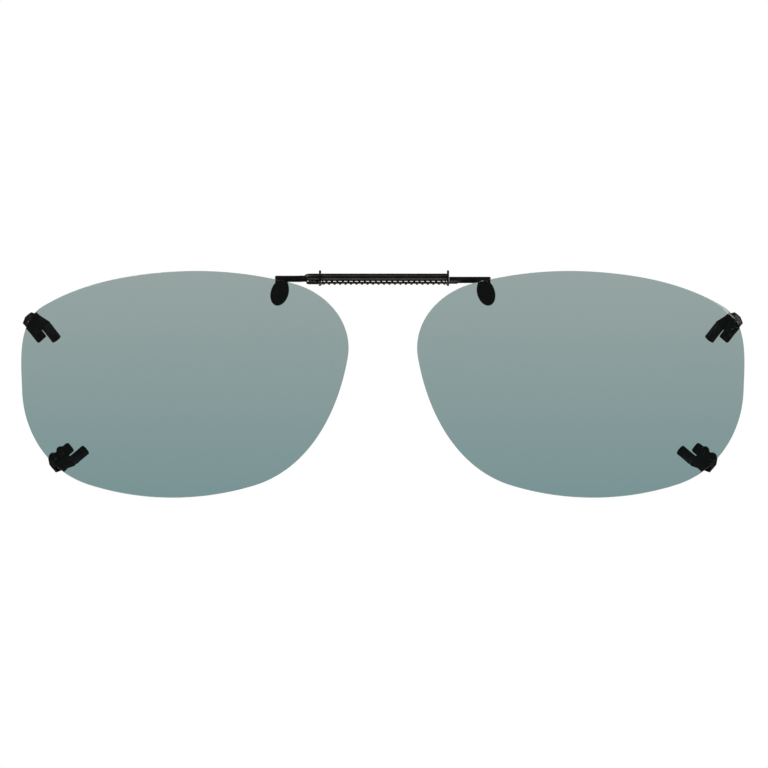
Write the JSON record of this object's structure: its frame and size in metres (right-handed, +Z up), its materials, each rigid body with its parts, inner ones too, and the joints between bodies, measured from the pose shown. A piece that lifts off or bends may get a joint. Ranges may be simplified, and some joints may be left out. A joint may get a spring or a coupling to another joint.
{
  "type": "clip-on sunglasses",
  "caption": "Rimless clip-on sunglasses with tinted lenses on a spring-loaded sliding bridge and sleeved metal prongs that hook behind a pair of spectacles.",
  "frame": {"origin": "midway between the lenses, at the middle of their height, where the front of the spectacles underneath lies", "axes": "+X towards the right lens as seen from the front, +Y away from the viewer towards the wearer, +Z up"},
  "size_m": [0.1194, 0.0115, 0.0375],
  "materials": {
    "tinted_lens": "transparent grey-green tint, a little darker at the bottom, polished",
    "gunmetal": "dark gunmetal plating, satin",
    "spring": "dark drawn wire",
    "vinyl": "matte black soft vinyl",
    "pad": "glossy black"
  },
  "bodies": {
    "left_half": {"left_lens": "tinted_lens", "left_pad": "pad", "left_arm": "gunmetal", "left_upper_prong": "gunmetal", "left_upper_sleeve": "vinyl", "left_upper_stud_inner": "gunmetal", "left_upper_stud_outer": "gunmetal", "left_lower_prong": "gunmetal", "left_lower_sleeve": "vinyl", "left_lower_stud_inner": "gunmetal", "left_lower_stud_outer": "gunmetal", "guide_tube": "gunmetal", "fixed_plate": "gunmetal", "bridge_spring": "spring"},
    "right_half": {"right_lens": "tinted_lens", "right_pad": "pad", "right_arm": "gunmetal", "right_upper_prong": "gunmetal", "right_upper_sleeve": "vinyl", "right_upper_stud_inner": "gunmetal", "right_upper_stud_outer": "gunmetal", "right_lower_prong": "gunmetal", "right_lower_sleeve": "vinyl", "right_lower_stud_inner": "gunmetal", "right_lower_stud_outer": "gunmetal", "slide_rod": "gunmetal", "slide_plate": "gunmetal", "rod_end": "gunmetal"}
  },
  "joints": [
    {"name": "bridge_slide", "type": "slide", "parent": "left_half", "child": "right_half", "axis": [1, 0, 0], "range_m": [0, 0.01], "stiffness_N_per_m": 80, "springref_m": -0.012, "deforming": ["bridge_spring"]}
  ]
}
